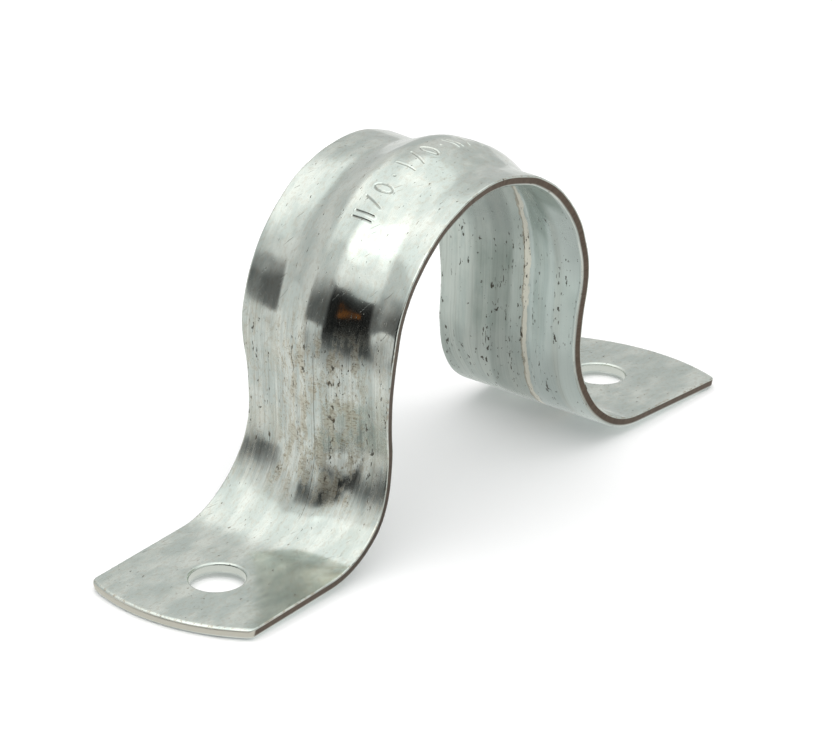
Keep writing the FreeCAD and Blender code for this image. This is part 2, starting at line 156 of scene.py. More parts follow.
def face_line(s):
    """Place and outward normal of the strip's outer face at the length s from the top."""
    side = np.where(s < 0, -1.0, 1.0)
    x = side * np.interp(abs(s), along, line_x)
    z = np.interp(abs(s), along, line_z)
    angle = np.interp(abs(s), along, heading)
    return x, z, side * np.sin(angle), np.cos(angle)


tip_x, tip_z, _, _ = face_line(np.array([half_blank]))
print("foot tip at", round(float(tip_x[0]), 3), round(float(tip_z[0]), 3), "mm")

# %% [markdown]
# ## The stiffening rib
#
# The rib is pressed into the flat strip. Its section is a flat crest, two sloping flanks,
# and round blends between them. Going down into the bends the punch lifts away on an arc
# of its own, wider than the bend, so the rib sinks into the sheet and runs out to nothing.
# The height of the rib at any point is then one formula, and a soft maximum rounds the
# crease where it meets the bend.

# %% Rib section
NEARLY_NONE = 1e-6

blends = rib_crest_blend + rib_root_blend
span = rib_root_half - rib_crest_half
lift = blends - rib_rise
flank = math.asin(blends / math.hypot(span, lift)) - math.atan2(lift, span)
flank_from = rib_crest_half + rib_crest_blend * math.sin(flank)
flank_to = rib_root_half - rib_root_blend * math.sin(flank)
print("rib flank", round(math.degrees(flank), 1), "degrees")


def rib_section(w):
    """Height of the full rib over the face, at w across the strip."""
    u = abs(w - rib_centre)
    crest = rib_rise - rib_crest_blend + np.sqrt(
        np.maximum(rib_crest_blend**2 - np.maximum(u - rib_crest_half, 0) ** 2, 0))
    root = rib_root_blend - np.sqrt(
        np.maximum(rib_root_blend**2 - np.maximum(rib_root_half - u, 0) ** 2, 0))
    start = rib_rise - rib_crest_blend * (1 - math.cos(flank))
    slope = start - (u - flank_from) * math.tan(flank)
    return np.where(u < flank_from, crest, np.where(u < flank_to, slope, root))


# %% Rib height, with its run-out
leg_drop = (arch_end.y - runout_height) / math.cos(leg_pinch)
punch = arch_end + leg_drop * leg_along + runout_radius * leg_normal
runout_from = arch_radius * arch_turn + leg_drop
print("rib starts to run out", round(runout_from, 2), "mm from the top")


def over_face(s, height):
    """How high the punch's arc, less height, stands over the strip's face beyond the leg."""
    x, z, nx, nz = face_line(abs(s))
    reach = nx * (x - punch.x) + nz * (z - punch.y)
    gap = (x - punch.x) ** 2 + (z - punch.y) ** 2 - (runout_radius - height) ** 2
    return -reach - np.sqrt(np.maximum(reach**2 - gap, 0))


def rib_height(s, w):
    """Height of the pressed rib over the strip's own face, at s along and w across."""
    full = rib_section(w)
    pressed = over_face(s, full)
    sunk = np.maximum(-over_face(s, 0 * full), 0)
    soft = np.clip(sunk, NEARLY_NONE, runout_blend)
    mix = np.maximum(soft - abs(pressed), 0) / soft
    fading = np.maximum(pressed, 0) + mix**2 * soft / 4
    return np.where(abs(s) < runout_from, full, fading)


# %% [markdown]
# ## The outline of the blank
#
# The long edges are straight, apart from the waist: pressing the rib pulls metal in from
# both sides, so the strip is narrower by the legs. Each end is cut to a shallow arc, whose
# centre lies a little to one side because the cut is not quite square, and the corners are
# rounded. The two ends are the same cut turned half round, so one outline serves for both.
# Every line of it can be drawn inset by a given amount, which the rims need. The fan of faces
# round each hole begins a little way up the bend, at patch_from.

# %% Sizes of the outline
waist_depth = 0.7
waist_height = 13.0
waist_radius = 40.0
end_radius = 20.5
end_shift = -1.6
corner_radius = 0.9
hole_radius = 2.8
hole_from_tip = 9.2
fan_overlap = 0.6

patch_from = foot_from - fan_overlap
hole_at = half_blank - hole_from_tip / math.cos(foot_tilt)
end_centre = half_blank - end_radius


def half_width(s):
    """Half the strip's width: full in the feet and the arch, drawn in at the waist."""
    _, z, _, _ = face_line(s)
    half_span = 2 * math.sqrt(waist_radius * waist_depth - waist_depth**2 / 4)
    away = abs(z - waist_height)
    dip = np.sqrt(waist_radius**2 - np.minimum(away, half_span / 2) ** 2)
    middle = waist_depth - waist_radius + dip
    tail = np.clip(half_span - away, 0, half_span / 2)
    outer = waist_radius - np.sqrt(waist_radius**2 - tail**2)
    return strip_width / 2 - np.where(away < half_span / 2, middle, outer)


print("screw holes", round(hole_at, 2), "mm from the middle of the blank")


# %% Foot outline
SIDE_POINTS = 30
CORNER_POINTS = 8
END_POINTS = 60


def arc_points(centre, radius, start, end, count):
    """Points on an arc about centre, between two angles."""
    angle = np.linspace(start, end, count)
    return np.stack((centre[0] + radius * np.cos(angle), centre[1] + radius * np.sin(angle)), 1)


def foot_outline(inset):
    """Half-round outline of the right foot, from its +w side to its -w side."""
    arc_centre = (end_centre, end_shift)
    corners = []
    for hand in (1, -1):
        w = hand * (strip_width / 2 - corner_radius)
        reach = math.sqrt((end_radius - corner_radius) ** 2 - (w - end_shift) ** 2)
        corners.append((end_centre + reach, w, math.atan2(w - end_shift, reach)))
    (s_plus, w_plus, a_plus), (s_minus, w_minus, a_minus) = corners
    down = np.linspace(patch_from, s_plus, SIDE_POINTS)
    back = np.linspace(s_minus, patch_from, SIDE_POINTS)[1:]
    rounding = corner_radius - inset
    return np.concatenate((
        np.stack((down, half_width(down) - inset), 1),
        arc_points((s_plus, w_plus), rounding, math.pi / 2, a_plus, CORNER_POINTS)[1:],
        arc_points(arc_centre, end_radius - inset, a_plus, a_minus, END_POINTS)[1:],
        arc_points((s_minus, w_minus), rounding, a_minus, -math.pi / 2, CORNER_POINTS)[1:],
        np.stack((back, inset - half_width(back)), 1),
    ))


outline = foot_outline(0.0)
inward = foot_outline(1.0) - outline
round_corner = np.linspace(0, 1, CORNER_POINTS)[1:]
end_share = np.concatenate((np.zeros(SIDE_POINTS), round_corner, np.ones(END_POINTS - 1),
                            1 - round_corner, np.zeros(SIDE_POINTS - 1)))
print("foot outline has", len(outline), "points")

# %% [markdown]
# ## Three kinds of edge
#
# No sheared edge is square. The long edges come from the slitting knives: sharp at the
# outer face, leaning in a little, and rolled over at the inner face. The ends are cut by
# a press from above, so there the outer corner is rolled, and the lower one is worn round.
# The screw holes are punched. Each profile is a short list of insets and depths, and at the
# corners of the foot one profile turns into the other.

# %% Edge profiles
ROUND_ROWS = 6
SIDE_ROWS = 3


def edge_profile(outer, lean, inner):
    """Rows of inset and depth, from the outer face round the edge to the inner face.

    outer and inner are the inset and depth of the rounds at the two faces, and lean is how
    far the sheared side has moved in where it meets the inner round.
    """
    quarter = np.linspace(0, math.pi / 2, ROUND_ROWS)
    turn = sheet - inner[1]
    upper = np.stack((outer[0] * (1 - np.sin(quarter)), outer[1] * (1 - np.cos(quarter))), 1)
    share = np.linspace(0, 1, SIDE_ROWS + 2)[1:-1, None]
    side = (1 - share) * np.array((0.0, outer[1])) + share * np.array((lean, turn))
    lower = np.stack((lean + inner[0] * (1 - np.cos(quarter)), turn + inner[1] * np.sin(quarter)), 1)
    return np.concatenate((upper, side, lower))


slit = edge_profile((0.12, 0.12), 0.10, (0.34, 0.40))
end_cut = edge_profile((0.36, 0.36), 0.06, (0.36, 0.38))
punched = edge_profile((0.26, 0.24), 0.0, (0.12, 0.12))
foot_edge = slit[:, None] * (1 - end_share[:, None]) + end_cut[:, None] * end_share[:, None]
print("edge profiles have", len(slit), "rows")

# %% [markdown]
# ## The flat blank as patches of quads
#
# Three kinds of patch cover each face: a long grid over the arch, legs and bends, and for
# each foot a fan of rings that opens from the screw hole to the outline. Rings keep the
# hole perfectly round, with no booleans and no long thin triangles to spoil the shine. The
# edges are patches too, one row for each row of their profile. All patches meet point for
# point, so merging by distance closes the skin. Close to every rim the faces are narrow, so
# that smooth shading keeps the broad face flat and turns only at the edge.

# %% Patches of the two faces
ROWS = 270
COLUMNS = 70
RINGS = 20
GUARD = 0.012
across = np.concatenate(([-1], np.linspace(-1 + GUARD, 1 - GUARD, COLUMNS), [1]))
ring_shares = np.concatenate(([0, 0.03], np.linspace(0.06, 0.97, RINGS), [0.99, 1]))
grid_s = np.linspace(-patch_from, patch_from, ROWS)
hole_centre = np.array((hole_at, 0.0))
patches = []


def at_depth(points, depth):
    """Flat points with a third coordinate: their level, 0 on the outer face, negative below."""
    level = np.broadcast_to(-np.asarray(depth, float), points.shape[:-1])
    return np.concatenate((points, level[..., None]), -1)


def half_turn(points):
    """The same points on the other foot."""
    return points * np.array((-1.0, -1.0, 1.0))


def foot_loop(row):
    """The foot's closed loop at one row of the edge: its outline and the line to the bend."""
    width = half_width(np.array([patch_from]))[0] - slit[row, 0]
    seam = np.stack((np.full(len(across), patch_from), across * width), 1)
    return np.concatenate((outline + inward * foot_edge[row, :, :1], seam[1:-1]))


def hole_ring(loop, radius):
    """A circle round the screw hole, with one point in line with each point of the loop."""
    ray = loop - hole_centre
    return hole_centre + radius * ray / np.linalg.norm(ray, axis=1)[:, None]


def ring_fan(row, depth):
    """Rings from the screw hole out to the foot's loop, at one row of the edge."""
    loop = foot_loop(row)
    start = hole_ring(loop, hole_radius + punched[row, 0])
    share = ring_shares[:, None, None]
    return at_depth((1 - share) * start + share * loop, depth)


for row, depth in ((0, 0.0), (-1, sheet)):
    w = across[None, :] * (half_width(grid_s) - slit[row, 0])[:, None]
    long_grid = np.stack((np.broadcast_to(grid_s[:, None], w.shape), w), -1)
    patches.append((at_depth(long_grid, depth), False))
    fan = ring_fan(row, depth)
    patches.append((fan, True))
    patches.append((half_turn(fan), True))
print("face patches:", [patch.shape[:2] for patch, closed in patches])

# %% Patches of the edges
for hand in (1, -1):
    rows = [at_depth(np.stack((grid_s, hand * (half_width(grid_s) - inset)), 1), depth)
            for inset, depth in slit]
    patches.append((np.stack(rows), False))
foot_rim = at_depth(outline + inward * foot_edge[..., :1], foot_edge[..., 1])
outer_loop, inner_loop = foot_loop(0), foot_loop(-1)
hole_rows = []
for share, (inset, depth) in zip(np.linspace(0, 1, len(punched)), punched):
    loop = (1 - share) * outer_loop + share * inner_loop
    hole_rows.append(at_depth(hole_ring(loop, hole_radius + inset), depth))
for rim, closed in ((foot_rim, False), (np.stack(hole_rows), True)):
    patches.append((rim, closed))
    patches.append((half_turn(rim), closed))
print(len(patches), "patches")

# %% [markdown]
# ## One closed skin
#
# The patches go into a bmesh as they are, in flat coordinates: length along the strip,
# width across it, and level, which is 0 on the outer face and negative below it. Merging the
# shared points turns them into a single closed skin, and a count of the edges proves it: on
# a solid, every edge belongs to exactly two faces.

# %% Merge the patches
MERGE_WITHIN = 0.002

skin = bmesh.new()
for patch, closed in patches:
    rows, columns = patch.shape[:2]
    made = [[skin.verts.new(point) for point in row] for row in patch]
    last = columns if closed else columns - 1
    for i in range(rows - 1):
        for j in range(last):
            k = (j + 1) % columns
            skin.faces.new((made[i][j], made[i][k], made[i + 1][k], made[i + 1][j]))
bmesh.ops.remove_doubles(skin, verts=skin.verts, dist=MERGE_WITHIN)
bmesh.ops.recalc_face_normals(skin, faces=skin.faces)
open_edges = sum(not edge.is_manifold for edge in skin.edges)
print(len(skin.faces), "faces,", open_edges, "open edges")

# %% [markdown]
# ## Stamped marks
#
# A row of small marks is struck into the crest of the rib before the strip is bent. They
# are plain strokes, rings and dots. A stroke is a line, and its groove is deepest on the
# line and fades out at half its width, with a low lip beside it where the metal was pushed
# up. The grid is too coarse for that, so the faces under the marks are divided first.

# %% Faces under the marks
MARK_CUTS = 4
MARK_MARGIN = 0.3
OUTER_LEVEL = -0.001
marks_from, marks_to = -11.4, 7.2
marks_low, marks_high = -2.75, -0.55


def under_marks(face):
    """Whether a face of the flat blank is on the outer side and under the row of marks."""
    centre = face.calc_center_median()
    return (centre.z > OUTER_LEVEL
            and marks_from - MARK_MARGIN < centre.x < marks_to + MARK_MARGIN
            and marks_low - MARK_MARGIN < centre.y < marks_high + MARK_MARGIN)


marked_edges = {edge for face in skin.faces if under_marks(face) for edge in face.edges}
bmesh.ops.subdivide_edges(skin, edges=list(marked_edges), cuts=MARK_CUTS, use_grid_fill=True)
print(len(skin.faces), "faces after dividing under the marks")

# %% Marks as strokes
RING_SIDES = 12
turns = np.linspace(0, 2 * math.pi, RING_SIDES + 1)
mark_lines = {
    "bar": [[(0.5, 0), (0.5, 1)]],
    "bars": [[(0.2, 0), (0.2, 1)], [(0.8, 0), (0.8, 1)]],
    "slant": [[(0.15, 0), (0.85, 1)]],
    "dot": [[(0.5, 0.46), (0.5, 0.54)]],
    "ring": [[(0.5 + 0.42 * math.sin(t), 0.5 + 0.5 * math.cos(t)) for t in turns]],
}
mark_row = ("bars", "slant", "ring", "dot", "bar", "slant", "ring", "dot", "bars", "slant", "bar")
mark_width = 1.05
mark_pitch = (marks_to - marks_from) / len(mark_row)
stroke_half = 0.12
stroke_depth = 0.10
lip_height = 0.02
lip_from_line = 1.6 * stroke_half
lip_half = 0.6 * stroke_half

strokes = []
for index, name in enumerate(mark_row):
    start = marks_from + (index + 0.5) * mark_pitch - mark_width / 2
    for line in mark_lines[name]:
        places = [(start + u * mark_width, marks_low + v * (marks_high - marks_low)) for u, v in line]
        strokes += list(zip(places, places[1:]))


def eased(share):
    """A share from 0 to 1 that starts and ends without a kink."""
    return share**2 * (3 - 2 * share)


def stamp(s, w):
    """How far the stamp moves the outer face at s, w: down in a groove, up on its lip."""
    nearest = np.full(len(s), np.inf)
    for (s0, w0), (s1, w1) in strokes:
        ds, dw = s1 - s0, w1 - w0
        share = np.clip(((s - s0) * ds + (w - w0) * dw) / (ds**2 + dw**2), 0, 1)
        nearest = np.minimum(nearest, np.hypot(s - s0 - share * ds, w - w0 - share * dw))
    groove = np.clip(1 - nearest / stroke_half, 0, 1)
    lip = np.clip(1 - abs(nearest - lip_from_line) / lip_half, 0, 1)
    return eased(lip) * lip_height - eased(groove) * stroke_depth


print(len(strokes), "strokes in", len(mark_row), "marks")

# %% [markdown]
# ## The unevenness of pressed sheet
#
# A pressed strap is never quite true. The sheet springs back unevenly where the rib and the
# bends pulled at it, by a few hundredths of a millimetre, and shiny metal shows that at once:
# reflections wander and break up. A Displace modifier with a cloud texture could do it. Here
# nine sine waves are summed instead, each longer than the last and turned by the golden angle,
# so that no direction repeats. Long waves carry most of the height. The feet were flattened
# last, so the waves fade out before them, and most of them sink into the sheet.

# %% Waves in the sheet
WAVES = 9
WAVE_SHORTEST = 1.7
WAVE_GROWTH = 1.22
WAVE_WEIGHT = 1.5
WAVE_HEIGHT = 0.10
WAVE_SINK = 0.5
WAVY_TO = 44.0
WAVY_FADE = 4.0
GOLDEN_ANGLE = math.radians(137.5)


def waviness(s, w):
    """Small unevenness of the pressed sheet, mostly below 0, and none in the feet."""
    total, weights = np.zeros(len(s)), 0.0
    for index in range(WAVES):
        turn = index * GOLDEN_ANGLE
        length = WAVE_SHORTEST * WAVE_GROWTH**index
        phase = 2 * math.pi * (s * math.cos(turn) + w * math.sin(turn)) / length + turn**2
        total += length**WAVE_WEIGHT * np.sin(phase)
        weights += length**WAVE_WEIGHT
    fade = eased(np.clip((WAVY_TO - abs(s)) / WAVY_FADE, 0, 1))
    return WAVE_HEIGHT * (total / weights - WAVE_SINK) * fade


print("longest wave", round(WAVE_SHORTEST * WAVE_GROWTH ** (WAVES - 1), 1), "mm")

# %% [markdown]
# ## Bending the blank
#
# One function does the work of the press. The length along the strip is looked up in the bend
# schedule, which gives a place and a direction; the rib's height moves the point outward from
# there. The face's own slope is then measured over a very short reach, and the level of the
# point, the waves and the stamp are laid off square to it. So the sheet keeps one thickness
# everywhere, also in the hollow behind the rib, as drawn metal does.

# %% Bend every point
REACH = 0.01


def pressed_face(s, w):
    """The outer face after pressing and bending, as x, y, z in mm."""
    x, z, nx, nz = face_line(s)
    height = rib_height(s, w)
    return np.stack((x + height * nx, w, z + height * nz), -1)


def outer_stamp(s, w, level):
    """The stamp's effect, which only the outer face feels."""
    return np.where(level > OUTER_LEVEL, stamp(s, w), 0)


def bent(flat):
    """Flat blank points (along, across, level) to their places on the strap."""
    s, w, level = flat.T
    face = pressed_face(s, w)
    along_face = pressed_face(s + REACH, w) - pressed_face(s - REACH, w)
    across_face = pressed_face(s, w + REACH) - pressed_face(s, w - REACH)
    normal = np.cross(along_face, across_face)
    normal /= np.linalg.norm(normal, axis=1)[:, None]
    _, _, nx, nz = face_line(s)
    outward = np.sign(normal[:, 0] * nx + normal[:, 2] * nz)
    struck_level = level + waviness(s, w) + outer_stamp(s, w, level)
    return face + normal * (outward * struck_level)[:, None]


mesh = bpy.data.meshes.new("strap_body")
skin.to_mesh(mesh)
skin.free()
flat = np.zeros(len(mesh.vertices) * 3)
mesh.vertices.foreach_get("co", flat)
flat = flat.reshape(-1, 3)
print(len(flat), "points of the flat blank")

# %% Write the mesh
blank = mesh.attributes.new("blank", "FLOAT_VECTOR", "POINT")
blank.data.foreach_set("vector", flat.ravel())
struck_depth = mesh.attributes.new("struck", "FLOAT", "POINT")
struck_depth.data.foreach_set("value", -outer_stamp(*flat.T))
mesh.vertices.foreach_set("co", (bent(flat) * MM).ravel())
mesh.polygons.foreach_set("use_smooth", np.ones(len(mesh.polygons), bool))
mesh.update()

strap = bpy.data.objects.new("strap_body", mesh)
bpy.context.scene.collection.objects.link(strap)
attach(strap, "root")
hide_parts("strap")
print("triangles:", sum(len(p.vertices) - 2 for p in mesh.polygons))

# %% [markdown]
# ## A small language for shaders
#
# Blender's shaders are graphs of nodes, and a long graph is hard to read as code. Two small
# classes help. A Value wraps one socket and can be added, multiplied or raised to a power as
# any number is, and each such step quietly adds a Math node. A Board holds the node tree and
# has one method that adds any other node: first its settings, then its inputs.

# %% Value and Board
class Value:
    """A socket in a node tree, which can be used in plain expressions."""

    def __init__(self, board, socket):
        self.board, self.socket = board, socket

    def __add__(self, other):
        return self.board.math("ADD", self, other)

    def __sub__(self, other):
        return self.board.math("SUBTRACT", self, other)

    def __rsub__(self, other):
        return self.board.math("SUBTRACT", other, self)

    def __mul__(self, other):
        return self.board.math("MULTIPLY", self, other)

    def __pow__(self, other):
        return self.board.math("POWER", self, other)

    def __abs__(self):
        return self.board.math("ABSOLUTE", self)

    __radd__ = __add__
    __rmul__ = __mul__


class Board:
    """The node tree of one material or world."""

    def __init__(self, tree):
        self.tree = tree

    def node(self, kind, settings=None, inputs=None, outputs=0):
        """Add a node of any kind, set its settings, feed its inputs and return its outputs."""
        made = self.tree.nodes.new(kind)
        for name, value in (settings or {}).items():
            if name == "stops":
                self.set_stops(made.color_ramp, value)
            else:
                setattr(made, name, value)
        for name, value in (inputs or {}).items():
            self.feed(made.inputs[name], value)
        if isinstance(outputs, tuple):
            return [Value(self, made.outputs[name]) for name in outputs]
        return Value(self, made.outputs[outputs])

    def feed(self, socket, value):
        """Link a Value to the socket, or set the socket to a plain number or colour."""
        if isinstance(value, Value):
            self.tree.links.new(value.socket, socket)
        else:
            socket.default_value = value

    def set_stops(self, ramp, stops):
        """Give a colour ramp its stops, each a place and a colour."""
        while len(ramp.elements) < len(stops):
            ramp.elements.new(1.0)
        for element, (place, colour) in zip(ramp.elements, stops):
            element.position, element.color = place, (*colour, 1.0)

    def math(self, operation, a, b=0.0):
        """One step of arithmetic."""
        return self.node("ShaderNodeMath", {"operation": operation}, {0: a, 1: b})

    def step(self, value, low, high):
        """0 below low, 1 above high, and an easy slope between them."""
        ends = {"Value": value, "From Min": low, "From Max": high}
        return self.node("ShaderNodeMapRange", {"interpolation_type": "SMOOTHSTEP"}, ends)

    def band(self, value, low, high, soft):
        """1 between low and high, and 0 outside, with soft borders."""
        return self.step(value, low - soft, low) * (1 - self.step(value, high, high + soft))

    def blend(self, factor, a, b):
        """Colour a where factor is 0, colour b where it is 1."""
        return self.node("ShaderNodeMix", {"data_type": "RGBA"}, {0: factor, 6: a, 7: b}, 2)

    def stretch(self, place, factors):
        """The place with each of its three parts multiplied by its own factor."""
        return self.node("ShaderNodeVectorMath", {"operation": "MULTIPLY"}, {0: place, 1: factors})

    def noise(self, place, factors, detail, roughness):
        """Cloudy noise: the smaller the factor, the longer its forms are in that direction."""
        inputs = {"Vector": self.stretch(place, factors), "Scale": 1.0, "Detail": detail,
                  "Roughness": roughness}
        return self.node("ShaderNodeTexNoise", None, inputs)


print("shader language ready")

# %% [markdown]
# ## The zinc
#
# Galvanised strip is not one colour. The zinc is a pale grey with a breath of green, a
# little cloudy. Rolling and pressing draw it into fine streaks along the strip, oil and
# handling leave beige stains, and small pits and dashes show where the coat is broken. All
# of these are noises read from the flat coordinates, stretched along the strip. Most of
# them change colour and roughness a little; none may shout.

# %% Colours of the coat
PALE_ZINC = (0.72, 0.755, 0.71, 1)
CLOUDY_ZINC = (0.53, 0.585, 0.555, 1)
BRIGHT_STREAK = (0.80, 0.83, 0.78, 1)
DULL_STREAK = (0.42, 0.45, 0.42, 1)
FINE_GREY = (0.30, 0.30, 0.27, 1)
OIL_STAIN = (0.56, 0.50, 0.37, 1)
CRACK_BROWN = (0.20, 0.155, 0.09, 1)
PIT_BROWN = (0.075, 0.062, 0.045, 1)
SCRATCH_BROWN = (0.13, 0.11, 0.08, 1)
# Painted shade for the stamped grooves.
GROOVE_PAINTED_SHADE = (0.12, 0.11, 0.09, 1)
RIM_BROWN = (0.30, 0.22, 0.14, 1)

# The inner face colours are partly painted light: a darker copy of the zinc for the shaded inside,
# painted shade for the hollow and the rib wall, and a painted reflection on the inner margin.
INNER_ZINC_AND_SHADE = (0.52, 0.61, 0.57, 1)
HOLLOW_PAINTED_SHADE = (0.36, 0.40, 0.37, 1)
RIB_WALL_PAINTED_SHADE = (0.50, 0.60, 0.60, 1)
MARGIN_PAINTED_REFLECTION = (0.74, 0.83, 0.80, 1)
# The cream of the drawn line is partly a painted highlight on the inner crease and partly a stain.
DRAWN_STAIN_AND_HIGHLIGHT = (0.84, 0.81, 0.70, 1)
DRAWN_BROWN = (0.25, 0.21, 0.14, 1)

# The very dark bare colour is partly painted shade on the sheared edges.
BARE_STEEL_AND_SHADE = (0.045, 0.032, 0.025, 1)
BARE_BROWN = (0.20, 0.155, 0.12, 1)
CUT_CREAM = (0.60, 0.58, 0.51, 1)
PUNCHED_ZINC = (0.66, 0.69, 0.64, 1)

# %% Where a point of the skin lies
THROUGH = 3.0

zinc = bpy.data.materials.new("zinc_steel")
zinc.use_nodes = True
board = Board(zinc.node_tree)
shader = zinc.node_tree.nodes["Principled BSDF"]
place = board.node("ShaderNodeAttribute", {"attribute_name": "blank"}, outputs="Vector")


def coat_noise(along, across, detail, roughness, through=THROUGH):
    """Noise on the flat blank, with one factor for each direction."""
    return board.noise(place, (along, across, through), detail, roughness)


def so_far(finish):
    """Print how far the material has grown."""
    print(finish + ":", len(zinc.node_tree.nodes), "nodes so far")


along_at, across_at, level_at = board.node(
    "ShaderNodeSeparateXYZ", None, {"Vector": place}, ("X", "Y", "Z"))
depth_at = level_at * -1
struck_at = board.node("ShaderNodeAttribute", {"attribute_name": "struck"}, outputs="Fac")
from_top = abs(along_at)
hand_at = board.math("SIGN", along_at)
from_rib = across_at - rib_centre

# Zones, as masks from 0 to 1. The numbers are millimetres on the flat blank.
inside = board.step(depth_at, sheet - 0.08, sheet - 0.02)
on_leg = board.step(from_top, 19, 24) * (1 - board.step(from_top, 38, 42))
on_foot = board.step(from_top, 44, 50)
on_rib = board.band(from_rib, -4.5, 4.5, 1.5)

end_reach = board.math("SQRT", (from_top - end_centre) ** 2 + (across_at * hand_at - end_shift) ** 2)
at_end = board.step(end_reach, end_radius - 0.45, end_radius - 0.2) * on_foot
hole_reach = board.math("SQRT", (from_top - hole_at) ** 2 + across_at**2)
at_hole = 1 - board.step(hole_reach, hole_radius + 0.2, hole_radius + 0.4)
so_far("zones")

# %% [markdown]
# ### Clouds, streaks and stains
#
# The order of the layers is the order in which they came about: first the zinc with its
# clouds, then the streaks of rolling and drawing, which are strongest on the legs where the
# sheet slid over the former, and on top the oil that stayed behind and its dried cracks. A
# layer is one blend: how much, what is below, what is laid over it.

# %% Clouds, streaks and stains
clouds = coat_noise(0.13, 0.3, 3, 0.55)
patches_of_tone = coat_noise(0.28, 0.45, 4, 0.6)
grain = coat_noise(1.6, 2.4, 4, 0.6)
streaks = coat_noise(0.035, 1.1, 5, 0.7)
fine_streaks = coat_noise(0.12, 6.0, 3, 0.6)
stain_noise = coat_noise(0.25, 0.8, 5, 0.65)
cracks = coat_noise(2.6, 0.8, 4, 0.6)

tone = board.step(clouds * 0.5 + patches_of_tone * 0.35 + grain * 0.15, 0.42, 0.6)
body = board.blend(tone, CLOUDY_ZINC, PALE_ZINC)
bright_streaks = board.step(streaks, 0.5, 0.6) * on_leg
dull_streaks = (1 - board.step(streaks, 0.36, 0.46)) * (on_leg * 0.35 + 0.1)
fine_dark = 1 - board.step(fine_streaks, 0.36, 0.5)
body = board.blend(bright_streaks * 0.6, body, BRIGHT_STREAK)
body = board.blend(dull_streaks, body, DULL_STREAK)
body = board.blend(fine_dark * (on_leg * 0.24 + 0.06), body, FINE_GREY)

stain_place = on_leg * (1 - inside) * (0.35 + on_rib * 0.65) + 0.15
stains = board.step(stain_noise * 0.55 + streaks * 0.25 + grain * 0.2, 0.46, 0.56) * stain_place
body = board.blend(stains * 0.42, body, OIL_STAIN)
crack_lines = 1 - board.step(abs(cracks - 0.5), 0.006, 0.028)
crack_place = on_leg * on_rib * board.step(stain_noise, 0.47, 0.56) * (1 - inside)
body = board.blend(crack_lines * crack_place * 0.8, body, CRACK_BROWN)
so_far("clouds, streaks and stains")

# %% [markdown]
# ### The inner face
#
# The inside never meets a hand, so it keeps its greenish zinc; it is also painted darker, as
# shade under the arch. The hollow behind the rib and the rib wall beside it are darkened as
# painted shade, and the inner margin is painted paler, as a painted reflection. Beside the
# hollow runs a pale line with a thin dark border. The pale line is partly a painted highlight,
# where the crease catches the light at a grazing angle, and partly a stain where the edge of
# the punch rubbed the coat as it drew the rib. It wanders a little, because both its borders
# are moved by noise, and it begins only part of the way down the arch.

# %% The inner face
hollow = board.band(from_rib, -0.8, 3.4, 0.5)
rib_wall = board.band(from_rib, -5.2, -1.2, 0.5)
near_margin = 1 - board.step(from_rib, -6.6, -5.6)
# Painted shade on the inside, in the hollow and on the rib wall; painted reflection on the inner
# margin.
body = board.blend(inside * 0.42, body, INNER_ZINC_AND_SHADE)
body = board.blend(inside * hollow * 0.35, body, HOLLOW_PAINTED_SHADE)
body = board.blend(inside * rib_wall * 0.35, body, RIB_WALL_PAINTED_SHADE)
body = board.blend(inside * near_margin * 0.7, body, MARGIN_PAINTED_REFLECTION)

wander = from_rib + (stain_noise - 0.5) * 1.6 + (grain - 0.5) * 0.5
drawn_down = inside * board.step(from_top, 11, 15)
crease_stain_and_highlight = board.band(wander, -0.9, -0.45, 0.25) * drawn_down
draw_border = board.band(wander, -0.4, -0.3, 0.12) * drawn_down
# The pale line is partly a painted highlight of the crease at a grazing angle and partly a stain from
# the punch.
body = board.blend(crease_stain_and_highlight * 0.8, body, DRAWN_STAIN_AND_HIGHLIGHT)
body = board.blend(draw_border * 0.55, body, DRAWN_BROWN)
so_far("inner face")

# %% [markdown]
# ### Pits, dashes and scratches
#
# A pit is where a noise comes close to its highest value, so a threshold near the top of the
# noise gives small separate spots. A second, long noise makes them crowd in rows, which is
# how dirt between the rollers marks a strip. Dashes are the same trick with a noise drawn
# out along the strip. Scratches are rarer: one long one down a leg beside the middle of the
# rib, and short ones at a slant, from a noise whose place has been turned.

# %% Pits and dashes
rows_of_pits = board.step(coat_noise(0.10, 0.85, 2, 0.5), 0.49, 0.6)
crowding = rows_of_pits * (on_leg * 0.8 + 0.2) + 0.12
pits = board.step(coat_noise(1.3, 3.1, 3, 0.6) + crowding * 0.085, 0.685, 0.72)
dashes = board.step(coat_noise(0.75, 5.0, 2, 0.5, 5.0) + crowding * 0.05, 0.735, 0.765)
marks = board.math("MAXIMUM", pits, dashes)
body = board.blend(marks * 0.85, body, PIT_BROWN)
so_far("pits and dashes")

# %% Scratches
SLANT = 0.6

rib_scratch = board.band(across_at + (clouds - 0.5) * 0.3, -0.98, -0.92, 0.035)
rib_scratch = rib_scratch * board.band(along_at, -42, -24, 0.6)
rib_scratch = rib_scratch * board.step(fine_streaks + grain, 0.7, 1.0)
turned = board.node(
    "ShaderNodeVectorRotate", {"rotation_type": "Z_AXIS"}, {"Vector": place, "Angle": SLANT})
slant_noise = board.noise(turned, (0.35, 4.5, 2.0), 2, 0.5)
slant_strokes = board.step(slant_noise, 0.69, 0.72) * (1 - on_leg * 0.7)
scratches = board.math("MAXIMUM", rib_scratch, slant_strokes * 0.7) * (1 - inside)
body = board.blend(scratches * 0.7, body, SCRATCH_BROWN)
so_far("scratches")

# %% [markdown]
# ### Cut edges and struck marks
#
# The sheet was coated before it was cut, so the long sheared edges are bare steel, brown and
# streaked by the knives; their very dark colour is partly painted shade. The cut ends are
# painted a light cream, and the holes are lighter too, because the press smears zinc over
# them. The depth below the outer face tells the shader where an edge is, and the depth of
# the stamp darkens the marks as painted shade in the grooves.

